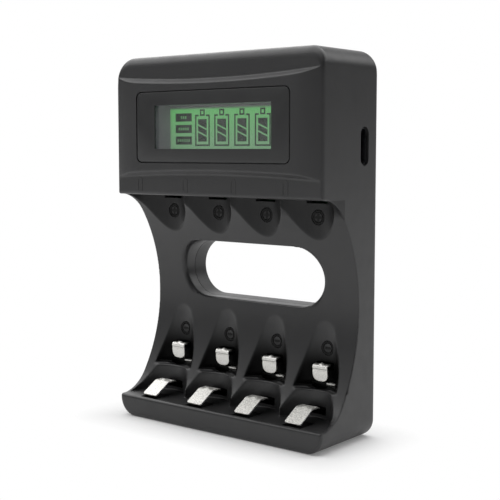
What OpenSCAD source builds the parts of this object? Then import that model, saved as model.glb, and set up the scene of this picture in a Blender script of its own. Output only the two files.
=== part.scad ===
// Four-bay charger for AA and AAA cells: a display head, a swept recess with
// scalloped bays, sprung leaf contacts, and a handle hole right through.
// X is the width, Y runs from the front to the back, Z is up from the table.

/* [Body] */
// Distance between the axes of neighbouring bays
bay_pitch = 15.5; // [15:0.1:17]
// From the outer bay's axis to the side of the body
side_margin = 9.25; // [9.1:0.05:11]
// Height of the bay floor above the table
base_h = 5.6; // [5.4:0.1:8]
// Height of the recess, from the bay floor to the underside of the head
recess_h = 53.4; // [52:0.1:58]
// Height of the display head
head_h = 35; // [34:0.5:45]
// Depth of the body, without the raised display pad
body_d = 23.5; // [23.2:0.1:28]
// Radius of the body's corners, seen from the front
corner_r = 4.6; // [4:0.1:6]
// Radius of the long edges at the top and the back
edge_r = 2.8; // [1.5:0.1:3]
// Radius of the lower front edge
lip_r = 1; // [0.5:0.1:1.5]
// Thickness of the moulded walls
wall = 2; // [1.7:0.1:2.2]

/* [Recess and bays] */
// Room behind the recess for the board and the rear cover
back_room = 8; // [7.8:0.1:10]
// Radius of the recess at its upper and lower end
recess_end_r = 10.7; // [10:0.1:12]
// Radius of the long cell's channel
aa_bay_r = 8.4; // [7.9:0.1:8.7]
// How much shallower the long cell's channel is than the recess
aa_bay_step = 3.7; // [3.3:0.1:4.1]
// Radius of the short cell's channel
aaa_bay_r = 5.6; // [5.4:0.1:6]
// How much deeper the short cell's channel is than the recess
aaa_bay_step = 0.25; // [0.1:0.05:0.5]
// Height of the short cell's ledge above the bay floor
aaa_ledge_h = 7.8; // [7.4:0.1:8.2]
// Height of the short cell's channel above its ledge, up to its rounded head
aaa_bay_h = 13; // [11:0.5:14]

/* [Handle hole] */
// Width of the hole
hole_w = 45; // [35:0.5:47]
// Height of the hole
hole_h = 15; // [12:0.5:16]
// Height of the hole's middle above the recess's middle
hole_rise = 6.9; // [5:0.1:8]
// Wall round the hole
hole_wall = 1.8; // [1.4:0.1:2.2]
// Distance of the seam inside the hole from the back
seam_back = 4.6; // [3.5:0.1:5]

/* [Display] */
// How far the display pad stands proud
pad_proud = 1.25; // [0.8:0.05:1.6]
// Width of the flat part of the pad
pad_flat_w = 50; // [46:0.5:54]
// Height of the pad's upper edge above the head's underside, at its middle
pad_top = 27.6; // [27:0.1:29]
// Height of the pad's lower edge above the head's underside, at its middle
pad_bottom = 6.2; // [5:0.1:7]
// Radius of the pad's upper edge
pad_top_r = 380; // [250:1:450]
// Radius of the pad's lower edge
pad_bottom_r = 322; // [200:1:400]
// Width of the lens
lens_w = 48.4; // [44:0.2:49]
// Height of the lens
lens_h = 17.6; // [16:0.2:18]
// Thickness of the lens
lens_t = 1.2; // [0.8:0.1:1.5]
// Radius of the lens's corners
lens_r = 1.5; // [1:0.1:3]
// Height of the lens's middle above the head's underside
lens_rise = 17.1; // [16.5:0.1:17.6]
// Width of the view through the display frame
view_w = 36.8; // [30:0.2:38]
// Height of the view through the display frame
view_h = 10.8; // [9:0.2:11]
// Frame at each end of the view
view_end = 3.8; // [3:0.1:4.5]
// Frame above and below the view
view_rail = 1.4; // [1:0.1:1.8]
// Depth of the display glass behind the front face
lcd_depth = 5.5; // [4:0.1:7]
// Thickness of the display glass
lcd_t = 2.2; // [1.6:0.1:2.8]
// Thickness of the lamp panel behind the glass
backlight_t = 2.6; // [2:0.1:3.5]
// Number of the display's legs
lcd_pin_count = 14; // [8:1:18]

/* [Contacts] */
// Thickness of the contact strip
strip_t = 0.4; // [0.3:0.05:0.5]
// Width of the long cell's spring contact
aa_leaf_w = 4.8; // [4:0.1:5.2]
// Width of the short cell's spring contact
aaa_leaf_w = 4.3; // [3.6:0.1:4.6]
// Width of the positive contact
positive_w = 5.8; // [5:0.1:6.4]
// Width of the plate that carries a bay's spring contacts
terminal_w = 6.8; // [6:0.1:7]
// Swing of the long cell's contact, in degrees
aa_swing = 14; // [8:1:14]
// Swing of the short cell's contact, in degrees
aaa_swing = 24; // [16:1:24]

/* [Rear cover and board] */
// Thickness of the rear cover
cover_t = 1.8; // [1.6:0.1:2.2]
// Gap round a part that drops into the shell
fit_gap = 0.15; // [0.1:0.05:0.25]
// Thickness of the circuit board
board_t = 1.2; // [1:0.1:1.6]
// Gap between the board and the rear cover
board_gap = 1.5; // [1.5:0.1:1.8]
// Gap between the board's edge and the wall
board_edge_gap = 0.8; // [0.5:0.1:1.2]

/* [Screws] */
// Diameter of the cover screws
cover_screw_d = 2.2; // [2:0.1:2.5]
// Length of the cover screws under the head
cover_screw_l = 8; // [6:0.5:8]
// Diameter of the board screws
board_screw_d = 1.8; // [1.6:0.1:2]
// Length of the board screws under the head
board_screw_l = 5; // [4:0.5:6]

/* [Port] */
// Height of the port's middle above the head's underside
port_rise = 12.3; // [11:0.1:16]
// Width of the port's metal shell
port_w = 8.94; // [8.5:0.02:9.2]
// Height of the port's metal shell
port_h = 3.16; // [3:0.02:3.3]
// Length of the port's metal shell
port_l = 7.3; // [6.5:0.1:8]

/* [Hidden] */
$fn = 48;
eps = 0.01;

// Bays and overall sizes
bay_x = [for (i = [-1.5 : 1.5]) i * bay_pitch];
body_w = 3 * bay_pitch + 2 * side_margin;
head_z = base_h + recess_h;
body_h = head_z + head_h;
mid_y = (body_d - pad_proud) / 2;
through = body_d + 20;

// Recess: two end arcs and one long arc that meet without a corner
recess_over = 0.15;
recess_depth = body_d - back_room;
recess_half = recess_h / 2 + recess_over;
recess_mid_z = base_h + recess_h / 2;
end_rise = recess_half - recess_end_r;
recess_long_r = (pow(recess_depth, 2) + pow(end_rise, 2) - pow(recess_end_r, 2))
    / (2 * (recess_depth - recess_end_r));

// Channels
aa_bay_depth = recess_depth - aa_bay_step;
aaa_bay_depth = recess_depth + aaa_bay_step;
aa_y = aa_bay_depth - aa_bay_r;
aaa_y = aaa_bay_depth - aaa_bay_r;
ledge_z = base_h + aaa_ledge_h;
hole_z = recess_mid_z + hole_rise;
hole_seam = body_d - seam_back;
back_y = max(recess_depth, aaa_bay_depth) + wall;

// Rear cover, board and the space between them
cover_y = body_d - cover_t;
board_y = cover_y - board_gap - board_t;
cavity_w = body_w - 2 * wall;
cavity_h = body_h - 2 * wall;
cavity_r = corner_r - wall;

// Screw bosses
boss_r = 2.5;
boss_inset = wall + 2.3;
cover_boss_x = body_w / 2 - boss_inset;
cover_boss_z = [boss_inset, body_h - boss_inset];
sleeve_l = 1.5;
cover_boss_y = cover_y - sleeve_l;
screw_head_t = 1.4;
screw_head_d = 4;
screw_room = 0.3;
sleeve_wall = 0.8;
sleeve_r = screw_head_d / 2 + screw_room + sleeve_wall;
board_boss_r = 2.1;
board_boss_x = body_w / 2 - wall - 2.9;
board_screw_head_t = 1.1;
board_screw_head_d = 3.4;
board_bottom = boss_inset + boss_r + 1;
board_top = body_h - boss_inset - boss_r - 0.6;
board_boss_z = [board_bottom + 2.4, board_top - 3.2];
thread_room = 0.05;
tip_room = 0.4;
cover_pilot_l = cover_screw_l - sleeve_l + tip_room;
board_pilot_l = board_screw_l - board_t + tip_room;

// Display
lens_z = head_z + lens_rise;
lens_back = lens_t - pad_proud;
nose_w = view_w + 2 * view_end;
nose_h = view_h + 2 * view_rail;
frame_rim = 1.5;
pin_room = 1.6;
pin_t = 0.5;
glass_lap = 0.5;
glass_w = nose_w - 4 * glass_lap;
glass_h = nose_h + 2 * glass_lap;
pin_inset = 4;
frame_w = glass_w + 2 * frame_rim + 2 * fit_gap;
frame_h = glass_h + pin_room + 2 * frame_rim + 2 * fit_gap;
frame_z = lens_z - pin_room / 2;
backlight_y = lcd_depth + lcd_t;
frame_back = backlight_y + backlight_t;

// Contacts
slot_gap = 0.35;
leaf_gap = 0.3;
seat_gap = 0.05;
aa_slot_half = 1;
positive_z = head_z + strip_t / 2;
positive_front = 2.4;
positive_lip = 0.5;
positive_slot_h = 1.3;
tab_w = 2.6;
tab_in = 1;
tab_out = 0.6;
aa_leaf_rise = 2;
aa_apex_rise = 3.4;
aa_leaf_z = base_h + aa_leaf_rise;
aa_root = 0.6;
aa_hinge = [aa_bay_depth + wall / 2 + 0.4, aa_leaf_z];
aa_tip = [1.6, base_h + 0.6];
aa_bend = [6.4, base_h + aa_apex_rise];
aa_flat = 2.4;
terminal_tab_z = base_h + 3.9;
terminal_z = ledge_z + 2 * seat_gap + strip_t / 2;
terminal_y = board_y - 4 * seat_gap - strip_t / 2;
terminal_front = aaa_bay_depth - 1.45;
aaa_root = 0.5;
aaa_hinge = [aaa_bay_depth + wall + aaa_root, terminal_z + strip_t + leaf_gap];
aaa_top_rise = 4.75;
aaa_top_z = ledge_z + aaa_top_rise;
aaa_slot_drop = 1.15;
aaa_path = [
    aaa_hinge,
    [aaa_hinge[0], aaa_top_z - 0.5],
    [aaa_hinge[0] - 0.5, aaa_top_z],
    [aaa_bay_depth - 2.2, aaa_top_z + 0.15],
    [aaa_bay_depth - 2.85, aaa_top_z - 0.75],
    [aaa_bay_depth - 2.45, ledge_z + 1.15]
];
well_deep = norm(aa_tip - aa_hinge)
    * sin(atan2(aa_hinge[1] - aa_tip[1], aa_hinge[0] - aa_tip[0]) + aa_swing);
well_z = aa_leaf_z - well_deep - strip_t - leaf_gap;
well_front = 1;
well_back = aa_bend[0] + leaf_gap;
hook_well_z = ledge_z - 1.4;
hook_well_y = aaa_bay_depth - 3.3;
window_top = aaa_top_z + 1.1;
dimple_r = 1.1;
dimple_rise = 0.35;
dimple_inset = 1.4;

// Parts on the board: width, thickness and height
chip_size = [10.3, 2.3, 7.5];
chip_drop = 5.9;
chip_at = [2, lens_z - chip_drop];
chip_lead = [0.45, 1, 1.1];
chip_pitch = 1.27;
chip_side = 3;
transistor_size = [6.5, 1.7, 3];
transistor_tab = [3, 0.6, 0.9];
transistor_lead = [0.7, 0.6, 1.4];
transistor_pitch = 2.3;
transistor_rise = 2.6;
inductor_w = 7;
inductor_t = 3.6;
inductor_r = 1.6;
inductor_core_r = 2.6;
inductor_core_rise = 0.3;
inductor_at = [-15, lens_z - 1.1];
capacitor_d = 6.3;
capacitor_gap = 2.1;
capacitor_l = board_y - frame_back - capacitor_gap;
capacitor_x = 17.2;
capacitor_z = [lens_z - 3.1, lens_z + 4.4];
resistor_size = [3.2, 0.6, 1.6];
resistor_drop = 5.2;

// Port
port_y = board_y - port_h / 2;
port_z = head_z + port_rise;
port_mouth = body_w / 2 - 0.5;
port_gap = 0.15;
port_wall = 0.3;
port_floor = 1;
tongue_t = 0.7;
tongue_root = 1.2;
tongue_side = 1.15;

// Colours
charcoal = "#3a3a3b";
nickel = "#d9dadb";
black = "#1c1c1d";

// Helper shapes

function about(middle, half) = [middle - half, middle + half];
function above(base, low, high) = [base + low, base + high];

module placed() { translate([0, -mid_y, 0]) children(); }

// A flat shape in X and Z, drawn out along Y from y0 to y1
module along_y(y0, y1) {
    translate([0, y1, 0]) rotate([90, 0, 0]) linear_extrude(y1 - y0) children();
}

// A flat shape in Y and Z, drawn out along X to both sides of x
module along_x(x, width) {
    translate([x - width / 2, 0, 0]) rotate([90, 0, 90]) linear_extrude(width) children();
}

// What an arc of radius r leaves outside it in a square corner at the origin
module outside_arc(r) {
    difference() {
        translate([-1, -1]) square(r + 1);
        translate([r, r]) circle(r);
    }
}

// A rectangle from the origin with its own radius at each corner:
// lower left, lower right, upper right, upper left
module rounded(size, radii) {
    difference() {
        square(size);
        outside_arc(radii[0]);
        translate([size[0], 0]) mirror([1, 0]) outside_arc(radii[1]);
        translate(size) rotate(180) outside_arc(radii[2]);
        translate([0, size[1]]) mirror([0, 1]) outside_arc(radii[3]);
    }
}

module centred_round(size, r) { translate(-size / 2) rounded(size, [r, r, r, r]); }

// A slot with round ends, w wide over all and h high
module stadium(w, h) {
    square([w - h, h], center = true);
    for (side = [-1, 1]) translate([side * (w - h) / 2, 0]) circle(h / 2);
}

// A strip of the contact metal along a path, seen edge on
module strip(path) {
    for (i = [0 : len(path) - 2]) {
        run = path[i + 1] - path[i];
        translate(path[i]) rotate(atan2(run[1], run[0])) translate([0, -strip_t / 2])
            square([norm(run), strip_t]);
    }
    for (i = [0 : len(path) - 1]) translate(path[i]) circle(strip_t / 2);
}

module box(x, width, y, z) {
    translate([x - width / 2, y[0], z[0]]) cube([width, y[1] - y[0], z[1] - z[0]]);
}

// Body form

module body_front() {
    translate([0, body_h / 2]) centred_round([body_w, body_h], corner_r);
}

module body_side() { rounded([body_d, body_h], [lip_r, edge_r, edge_r, edge_r]); }

module body_block() {
    intersection() {
        along_y(0, body_d) body_front();
        along_x(0, body_w) body_side();
        translate([-body_w / 2, 0, 0]) linear_extrude(body_h)
            rounded([body_w, body_d], [eps, eps, edge_r, edge_r]);
    }
}

// The pad's outline from above: flat in front, with round ends that meet the sides
module pad_top_view() {
    run_out = (body_w - pad_flat_w) / 2;
    end_r = (pow(run_out, 2) + pow(pad_proud, 2)) / (2 * pad_proud);
    intersection() {
        translate([-body_w / 2, -pad_proud]) square([body_w, pad_proud + 1]);
        union() {
            translate([-pad_flat_w / 2, -pad_proud]) square([pad_flat_w, pad_proud + 1]);
            for (side = [-1, 1]) translate([side * pad_flat_w / 2, end_r - pad_proud]) circle(end_r);
        }
    }
}

// One bevelled edge of the pad: a cone round an axis along Y
module pad_edge(z, r) {
    reach = pad_proud + 3;
    translate([0, -pad_proud - 1, z]) rotate([-90, 0, 0])
        cylinder(h = reach, r1 = r + 1, r2 = r + 1 - reach, $fn = 96);
}

module display_pad() {
    difference() {
        translate([0, 0, head_z + lip_r]) linear_extrude(head_h - lip_r - edge_r) pad_top_view();
        pad_edge(head_z + pad_top + pad_top_r, pad_top_r);
        pad_edge(head_z + pad_bottom - pad_bottom_r, pad_bottom_r);
    }
}

// Recess, bays and hole, larger all round by the wall where grow is set

module recess_view(grow) {
    end_r = recess_end_r + grow;
    long_r = recess_long_r + grow;
    meet_z = long_r * end_rise / (recess_long_r - recess_end_r);
    for (side = [-1, 1]) translate([0, side * end_rise]) circle(end_r, $fn = 96);
    intersection() {
        translate([recess_depth - recess_long_r, 0]) circle(long_r, $fn = 96);
        translate([-end_r, -meet_z]) square([long_r + end_r, 2 * meet_z]);
    }
}

module aaa_channel(grow) {
    r = aaa_bay_r + grow;
    rotate_extrude() intersection() {
        square([r, aaa_bay_h + grow + r]);
        union() {
            square([r, aaa_bay_h + grow]);
            translate([0, aaa_bay_h + grow]) circle(r);
        }
    }
}

module bays(grow) {
    intersection() {
        translate([0, 0, recess_mid_z]) along_x(0, body_w + 2) recess_view(grow);
        box(0, body_w + 2, [-recess_end_r, through], [base_h - grow, head_z + grow]);
    }
    for (x = bay_x) {
        translate([x, aa_y, base_h - grow]) cylinder(h = recess_h + 2 * grow, r = aa_bay_r + grow);
        translate([x, aaa_y, ledge_z - grow]) aaa_channel(grow);
    }
}

module hole(grow, y0, y1) {
    translate([0, 0, hole_z]) along_y(y0, y1) stadium(hole_w + 2 * grow, hole_h + 2 * grow);
}

// Openings in the shell for the contacts of one bay
module contact_cuts(x) {
    aa_slot_w = aa_leaf_w + 2 * slot_gap;
    positive_slot_w = positive_w + 2 * fit_gap;
    wall_back = aa_bay_depth + wall + slot_gap;
    wall_front = aa_bay_depth - wall;
    seat_top = head_z + strip_t + seat_gap;
    box(x, aa_slot_w + slot_gap, [wall_front, wall_back], about(aa_leaf_z, aa_slot_half));
    box(x, aa_slot_w, [well_front, well_back], [well_z, base_h + 1]);
    box(x, terminal_w + 2 * slot_gap, [terminal_front - leaf_gap, back_y + slot_gap],
        above(ledge_z, 0, strip_t + 4 * seat_gap));
    along_x(x, aaa_leaf_w + 2 * slot_gap) polygon([
        [aaa_bay_depth - slot_gap, aaa_top_z - aaa_slot_drop],
        [back_y + slot_gap, aaa_hinge[1] - strip_t / 2], [back_y + slot_gap, window_top],
        [aaa_bay_depth - wall, window_top], [aaa_bay_depth - wall, aaa_top_z - aaa_slot_drop]
    ]);
    box(x, aaa_leaf_w + 2 * slot_gap, [hook_well_y, terminal_front], [hook_well_z, ledge_z + 1]);
    box(x, positive_slot_w, [positive_front - slot_gap, wall_back], [head_z - positive_lip, seat_top]);
    box(x, positive_slot_w, [wall_front, wall_back], [head_z - positive_slot_h, seat_top]);
}

module cavity() {
    difference() {
        translate([0, 0, body_h / 2]) along_y(wall, through) centred_round([cavity_w, cavity_h], cavity_r);
        bays(wall);
        for (x = bay_x) box(x, aa_leaf_w + 2 * slot_gap + 2 * wall, [0, well_back + wall], [0, base_h]);
        hole(hole_wall, 0, hole_seam);
        for (side = [-1, 1]) {
            for (z = cover_boss_z) boss(side * cover_boss_x, z, boss_r, cover_boss_y);
            for (z = board_boss_z) boss(side * board_boss_x, z, board_boss_r, board_y);
        }
    }
}

module boss(x, z, r, top) { translate([x, 0, z]) rotate([-90, 0, 0]) cylinder(h = top, r = r); }

module pilot(x, z, d, top, deep) {
    translate([x, top - deep, z]) rotate([-90, 0, 0]) cylinder(h = deep + 1, d = d);
}

module front_shell() {
    color(charcoal) placed() difference() {
        union() {
            body_block();
            display_pad();
        }
        bays(0);
        cavity();
        hole(0, 0, through);
        for (x = bay_x) contact_cuts(x);
        for (side = [-1, 1]) {
            for (z = cover_boss_z)
                pilot(side * cover_boss_x, z, cover_screw_d + 2 * thread_room, cover_boss_y, cover_pilot_l);
            for (z = board_boss_z)
                pilot(side * board_boss_x, z, board_screw_d + 2 * thread_room, board_y, board_pilot_l);
        }
        translate([0, 0, lens_z]) {
            along_y(-pad_proud - 1, lens_back)
                centred_round([lens_w, lens_h] + [2, 2] * fit_gap, lens_r + fit_gap);
            along_y(lens_back - 1, wall + 1) square([nose_w, nose_h], center = true);
        }
        translate([0, port_y, port_z]) rotate([0, 90, 0]) linear_extrude(body_w)
            centred_round([port_w, port_h] + [2, 2] * port_gap, port_h / 2 - eps);
    }
}

module cover_outline(y0, y1) {
    translate([0, 0, body_h / 2]) along_y(y0, y1)
        centred_round([cavity_w, cavity_h] - [2, 2] * fit_gap, cavity_r - fit_gap);
}

module rear_cover() {
    color(charcoal) placed() difference() {
        union() {
            cover_outline(cover_y, body_d);
            hole(hole_wall, hole_seam + fit_gap, body_d);
            intersection() {
                cover_outline(cover_boss_y, body_d);
                for (side = [-1, 1], z = cover_boss_z)
                    translate([side * cover_boss_x, cover_boss_y, z]) rotate([-90, 0, 0])
                        cylinder(h = sleeve_l + cover_t / 2, r = sleeve_r);
            }
        }
        hole(0, 0, through);
        for (side = [-1, 1], z = cover_boss_z) {
            pilot(side * cover_boss_x, z, cover_screw_d + 2 * screw_room, body_d, body_d);
            pilot(side * cover_boss_x, z, screw_head_d + 2 * screw_room, body_d, cover_t);
        }
    }
}

module display_lens() {
    color([0.2, 0.2, 0.21, 0.6]) placed() translate([0, 0, lens_z])
        along_y(-pad_proud, lens_back) centred_round([lens_w, lens_h], lens_r);
}

module lcd_frame() {
    post = 2;
    color("#6a686b") placed() difference() {
        union() {
            translate([0, 0, lens_z]) along_y(lens_back + 2 * seat_gap, wall + 1)
                square([nose_w, nose_h] - [2, 2] * fit_gap, center = true);
            translate([0, 0, frame_z]) along_y(wall, frame_back) square([frame_w, frame_h], center = true);
            for (side = [-1, 1], end = [-1, 1])
                translate([side * (frame_w - post) / 2, 0, frame_z + end * (frame_h - post) / 2])
                    along_y(frame_back - 1, board_y) square(post, center = true);
        }
        translate([0, 0, lens_z]) along_y(-pad_proud, lcd_depth + 1)
            square([view_w, view_h], center = true);
        translate([0, 0, frame_z]) along_y(lcd_depth, frame_back + 1)
            square([frame_w, frame_h] - [2, 2] * frame_rim, center = true);
    }
}

module lcd_glass() {
    color("#7fb58a") placed() translate([0, 0, lens_z]) along_y(lcd_depth, backlight_y)
        square([glass_w, glass_h], center = true);
}

module backlight_panel() {
    color("#8fe08a") placed() translate([0, 0, lens_z]) along_y(backlight_y, frame_back)
        square([glass_w, glass_h], center = true);
}

module lcd_pins() {
    span = glass_w - 2 * pin_inset;
    color(nickel) placed() for (i = [0 : lcd_pin_count - 1])
        box(-span / 2 + i * span / (lcd_pin_count - 1), pin_t, [lcd_depth + 0.5, board_y],
            above(lens_z - glass_h / 2 - 2 * fit_gap, -pin_t, 0));
}

module main_board() {
    width = cavity_w - 2 * board_edge_gap;
    color("#1f5a35") placed() difference() {
        translate([0, 0, (board_top + board_bottom) / 2]) along_y(board_y, board_y + board_t)
            centred_round([width, board_top - board_bottom], 1);
        hole(hole_wall + board_edge_gap, 0, through);
        for (side = [-1, 1], z = board_boss_z)
            pilot(side * board_boss_x, z, board_screw_d + 2 * screw_room, body_d, body_d);
        for (x = bay_x) {
            box(x, tab_w + 2 * fit_gap, [0, through], about(positive_z, strip_t / 2 + fit_gap));
            box(x, tab_w + 2 * fit_gap, [0, through], about(terminal_tab_z, strip_t / 2 + fit_gap));
        }
    }
}

// Parts soldered to the front of the board

// A block on the board's front: width, thickness and height, from its lower edge at z
module on_board(x, z, size) { box(x, size[0], [board_y - size[1], board_y], [z, z + size[2]]); }

module controller_chip() {
    color(black) placed() {
        on_board(chip_at[0], chip_at[1], chip_size);
        for (end = [-chip_lead[2], chip_size[2]], i = [-chip_side : chip_side])
            on_board(chip_at[0] + i * chip_pitch, chip_at[1] + end, chip_lead);
    }
}

module charge_transistors() {
    z = head_z + transistor_rise;
    color(black) placed() for (x = bay_x) {
        on_board(x, z, transistor_size);
        on_board(x, z + transistor_size[2], transistor_tab);
        for (i = [-1 : 1]) on_board(x + i * transistor_pitch, z - transistor_lead[2], transistor_lead);
    }
}

module power_inductor() {
    color("#47474a") placed() translate([inductor_at[0], 0, inductor_at[1]]) {
        along_y(board_y - inductor_t, board_y) centred_round([inductor_w, inductor_w], inductor_r);
        along_y(board_y - inductor_t - inductor_core_rise, board_y - inductor_t) circle(inductor_core_r);
    }
}

module filter_capacitors() {
    color("#b9bcc0") placed() for (z = capacitor_z)
        translate([capacitor_x, board_y, z]) rotate([90, 0, 0]) cylinder(h = capacitor_l, d = capacitor_d);
}

module sense_resistors() {
    color(black) placed() for (x = bay_x) on_board(x, head_z - resistor_drop, resistor_size);
}

// Charging port

module usb_shell() {
    color(nickel) placed() translate([port_mouth - port_l, port_y, port_z]) rotate([0, 90, 0])
        difference() {
            linear_extrude(port_l) stadium(port_w, port_h);
            translate([0, 0, port_floor]) linear_extrude(port_l)
                stadium(port_w - 2 * port_wall, port_h - 2 * port_wall);
        }
}

module usb_tongue() {
    color(black) placed() translate([port_mouth - port_l + port_floor, port_y, port_z]) rotate([0, 90, 0]) {
        linear_extrude(tongue_root) stadium(port_w - 2 * port_wall, port_h - 2 * port_wall);
        linear_extrude(port_l - port_floor - tongue_side)
            square([port_w - 2 * tongue_side, tongue_t], center = true);
    }
}

// Screws with a cross recess in a flat round head

module screw(head_y, d, l, head_d, head_t) {
    translate([0, head_y, 0]) rotate([-90, 0, 0]) difference() {
        union() {
            cylinder(h = head_t, d = head_d);
            translate([0, 0, -l]) cylinder(h = l + eps, d = d);
        }
        for (turn = [0, 90]) rotate(turn) translate([-d / 2, -d / 8, head_t / 2]) cube([d, d / 4, head_t]);
    }
}

module cover_screws() {
    color(nickel) placed() for (side = [-1, 1], z = cover_boss_z) translate([side * cover_boss_x, 0, z])
        screw(cover_y, cover_screw_d, cover_screw_l, screw_head_d, screw_head_t);
}

module board_screws() {
    color(nickel) placed() for (side = [-1, 1], z = board_boss_z) translate([side * board_boss_x, 0, z])
        screw(board_y + board_t, board_screw_d, board_screw_l, board_screw_head_d, board_screw_head_t);
}

// Contacts of one bay

module solder_tab(x, y, z) {
    box(x, tab_w, [y, board_y + board_t + tab_out], about(z, strip_t / 2));
}

module positive_contact(x) {
    color(nickel) placed() {
        along_x(x, positive_w) strip([[positive_front, positive_z], [board_y - strip_t / 2, positive_z]]);
        solder_tab(x, board_y - tab_in, positive_z);
    }
}

module negative_terminal(x) {
    color(nickel) placed() {
        box(x, terminal_w, [terminal_front, terminal_y - strip_t], about(terminal_z, strip_t / 2));
        along_x(x, tab_w) strip([
            [terminal_y - 2 * strip_t, terminal_z], [terminal_y, terminal_z], [terminal_y, aa_leaf_z]
        ]);
        solder_tab(x, terminal_y, terminal_tab_z);
    }
}

// A round dimple that stands up from the strip at one place
module dimple(x, y, z) {
    translate([x, y, z]) intersection() {
        translate([0, 0, dimple_rise - dimple_r]) sphere(dimple_r);
        translate([-1, -1, -strip_t / dimple_r / 4] * dimple_r) cube([2, 2, 1] * dimple_r);
    }
}

module aa_contact(x) {
    tail_end = terminal_y - strip_t / 2 - leaf_gap;
    color(nickel) placed() {
        along_x(x, aa_leaf_w) strip([
            [aa_hinge[0] + aa_root, aa_leaf_z], aa_bend + [aa_flat, 0], aa_bend, aa_tip
        ]);
        box(x, tab_w, [aa_hinge[0] + aa_root / 2, tail_end], about(aa_leaf_z, strip_t / 2));
        dimple(x, aa_bend[0] + aa_flat / 2, aa_bend[1] + strip_t / 2);
    }
}

module aaa_contact(x) {
    color(nickel) placed() {
        along_x(x, aaa_leaf_w) strip(aaa_path);
        dimple(x, aaa_path[3][0] + dimple_inset, aaa_path[3][1] + strip_t / 2 - seat_gap);
    }
}

front_shell();
rear_cover();
display_lens();
lcd_frame();
lcd_glass();
backlight_panel();
lcd_pins();
main_board();
controller_chip();
charge_transistors();
power_inductor();
filter_capacitors();
sense_resistors();
usb_shell();
usb_tongue();
cover_screws();
board_screws();
for (i = [0 : 3]) {
    bay = str(i + 1);
    positive_contact(bay_x[i]);
    negative_terminal(bay_x[i]);
    aa_contact(bay_x[i]);
    aaa_contact(bay_x[i]);
}
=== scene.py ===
"""Looks for a four-bay charger for AA and AAA cells, built around its solid model.

Sizes are in millimetres. A depth is measured back from the front face of the body,
and at() turns x, depth and height to the model's own frame in metres.
"""

import math

import bmesh
import bpy
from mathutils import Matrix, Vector


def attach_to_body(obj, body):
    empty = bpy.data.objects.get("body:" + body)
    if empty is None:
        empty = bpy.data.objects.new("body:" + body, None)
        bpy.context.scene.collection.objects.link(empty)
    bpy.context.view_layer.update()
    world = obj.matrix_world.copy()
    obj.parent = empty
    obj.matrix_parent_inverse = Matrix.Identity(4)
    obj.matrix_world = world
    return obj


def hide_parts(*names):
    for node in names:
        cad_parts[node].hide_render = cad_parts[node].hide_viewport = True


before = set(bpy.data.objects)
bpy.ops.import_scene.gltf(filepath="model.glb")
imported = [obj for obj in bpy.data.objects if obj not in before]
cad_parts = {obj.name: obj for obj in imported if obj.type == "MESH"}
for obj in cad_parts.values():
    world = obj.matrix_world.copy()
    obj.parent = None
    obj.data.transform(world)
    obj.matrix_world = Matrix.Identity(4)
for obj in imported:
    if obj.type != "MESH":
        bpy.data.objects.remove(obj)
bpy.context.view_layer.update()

# Body
BODY_W, BODY_D, BODY_H = 65, 23.5, 94
PAD_PROUD = 1.25
MID_DEPTH = (BODY_D - PAD_PROUD) / 2
WALL = 2
CORNER_R, EDGE_R, LIP_R, SIDE_R, BACK_R = 4.6, 2.8, 1, 0.5, 1.1
FLOOR_Z, HEAD_Z = 5.6, 59
BAY_PITCH = 15.5
BAY_X = [(i - 1.5) * BAY_PITCH for i in range(4)]

# Recess, channels and hole
RECESS_DEPTH, RECESS_END_R, RECESS_OVER = 15.5, 10.7, 0.15
RECESS_EDGE_R = 0.7
AA_AXIS, AA_R = 3.4, 8.4
AAA_AXIS, AAA_R = 9.35, 6.4
LEDGE_Z, AAA_DOME_Z = 13.4, 26.4
LEDGE_STEP_W, LEDGE_STEP_Z = 1.2, 12.5
HOLE_W, HOLE_H, HOLE_Z, HOLE_WALL, HOLE_ROUND = 45, 15, 39.2, 1.8, 1.2
SEAM_DEPTH = 18.9

# Walls of the lower bays whose edges are moulded softer
SOFT_HALF_W, SOFT_DEPTH, SOFT_Z = 31.5, (2, 17), (7.8, 30.5)

# Openings for a bay's contacts: half width, limits in depth and limits in height
BLADE_SLOT = 2.9, (9.8, 14.2), (6.6, 8.6)
BLADE_WELL = 2.75, (1, 6.7), (2.75, 6.6)
TERMINAL_SLOT = 3.75, (14, 18.1), (LEDGE_Z, 14)
HOOK_WELL = 2.3, (12.75, 14.3), (12, 14.4)
POSITIVE_GROOVE = 3.05, (2.05, 14.2), (HEAD_Z - 0.5, HEAD_Z + 0.45)
POSITIVE_SLOT = 3.05, (9.8, 14.2), (HEAD_Z - 1.3, HEAD_Z + 0.45)
HOOK_SLOT_HALF_W = 2.5
HOOK_SLOT = [(13.8, 17), (15.4, 17), (18.1, 14.2), (18.1, 18.75), (13.8, 18.75)]

# Sprung strips: path in depth and height from the root, width, bend, tip radius, and the dimple's
# place along the strip, reach and rise
STRIP_T, STRIP_EDGE_R = 0.4, 0.08
BLADE_PATH = [(14, 7.6), (13.2, 7.6), (8.8, 9), (6.4, 9), (1.6, 6.2)]
BLADE_W, BLADE_BEND, BLADE_TIP_R, BLADE_DIMPLE = 4.8, 1.2, 0.5, (7, 1.1, 0.35)
TAIL_PATH, TAIL_W, TAIL_BEND = [(13.6, 7.6), (18.1, 7.6)], 2.6, 0.5
HOOK_PATH = [(18.25, 14.2), (18.25, 18.15), (13.1, 18.3), (12.8, 17.7), (13.15, 17.3), (13, 16.8), (13.3, 14.4)]
HOOK_W, HOOK_BEND, HOOK_TIP_R, HOOK_DIMPLE = 4.3, 0.8, 1.6, (8.2, 0.8, 0.4)

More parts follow.
